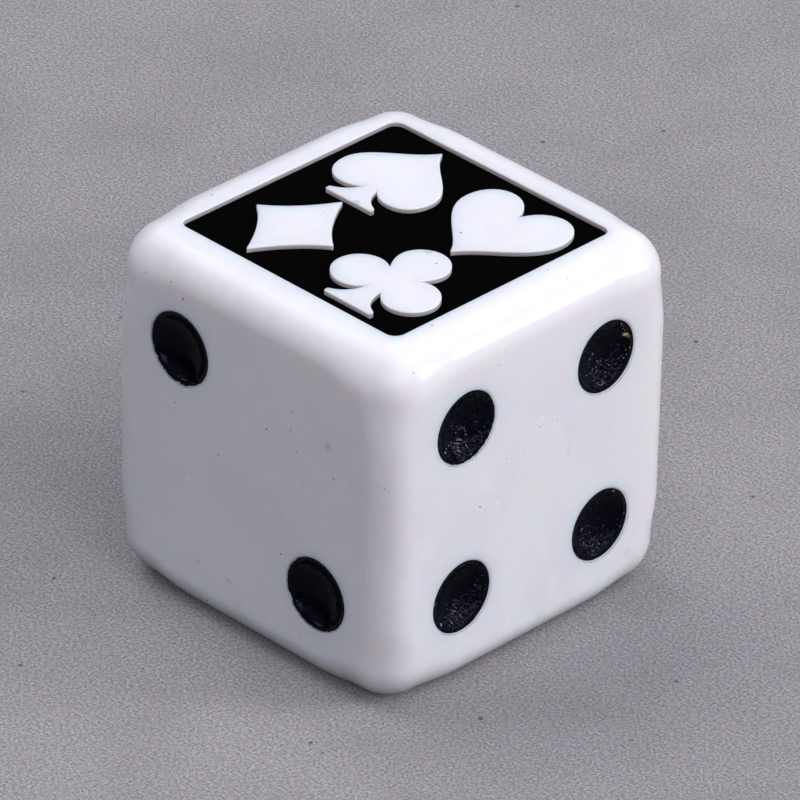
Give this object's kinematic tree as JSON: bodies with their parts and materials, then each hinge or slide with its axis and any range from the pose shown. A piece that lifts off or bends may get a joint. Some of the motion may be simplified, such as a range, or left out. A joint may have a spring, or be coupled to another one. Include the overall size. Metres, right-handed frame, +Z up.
{
  "type": "gaming die",
  "caption": "White round-cornered gaming die with black enamelled pips and an engraved black panel of raised card suits on its top face.",
  "frame": {"origin": "middle of the underside, the face with one pip, where the die stands", "axes": "+Z up through the engraved panel face, -Y out of the face with two pips, +X out of the face with four pips"},
  "size_m": [0.016, 0.016, 0.016],
  "materials": {
    "white_plastic": "tumbled gloss, opaque white with a faint milky depth",
    "pip_enamel": "glossy blue-black enamel with a wrinkled dried skin",
    "panel_black": "flat black paint"
  },
  "bodies": {
    "root": {"die_body": "white_plastic", "panel_paint": "panel_black", "one_pip": "pip_enamel", "two_pip_a": "pip_enamel", "two_pip_b": "pip_enamel", "three_pip_a": "pip_enamel", "three_pip_b": "pip_enamel", "three_pip_c": "pip_enamel", "four_pip_a": "pip_enamel", "four_pip_b": "pip_enamel", "four_pip_c": "pip_enamel", "four_pip_d": "pip_enamel", "five_pip_a": "pip_enamel", "five_pip_b": "pip_enamel", "five_pip_c": "pip_enamel", "five_pip_d": "pip_enamel", "five_pip_e": "pip_enamel"}
  },
  "joints": []
}
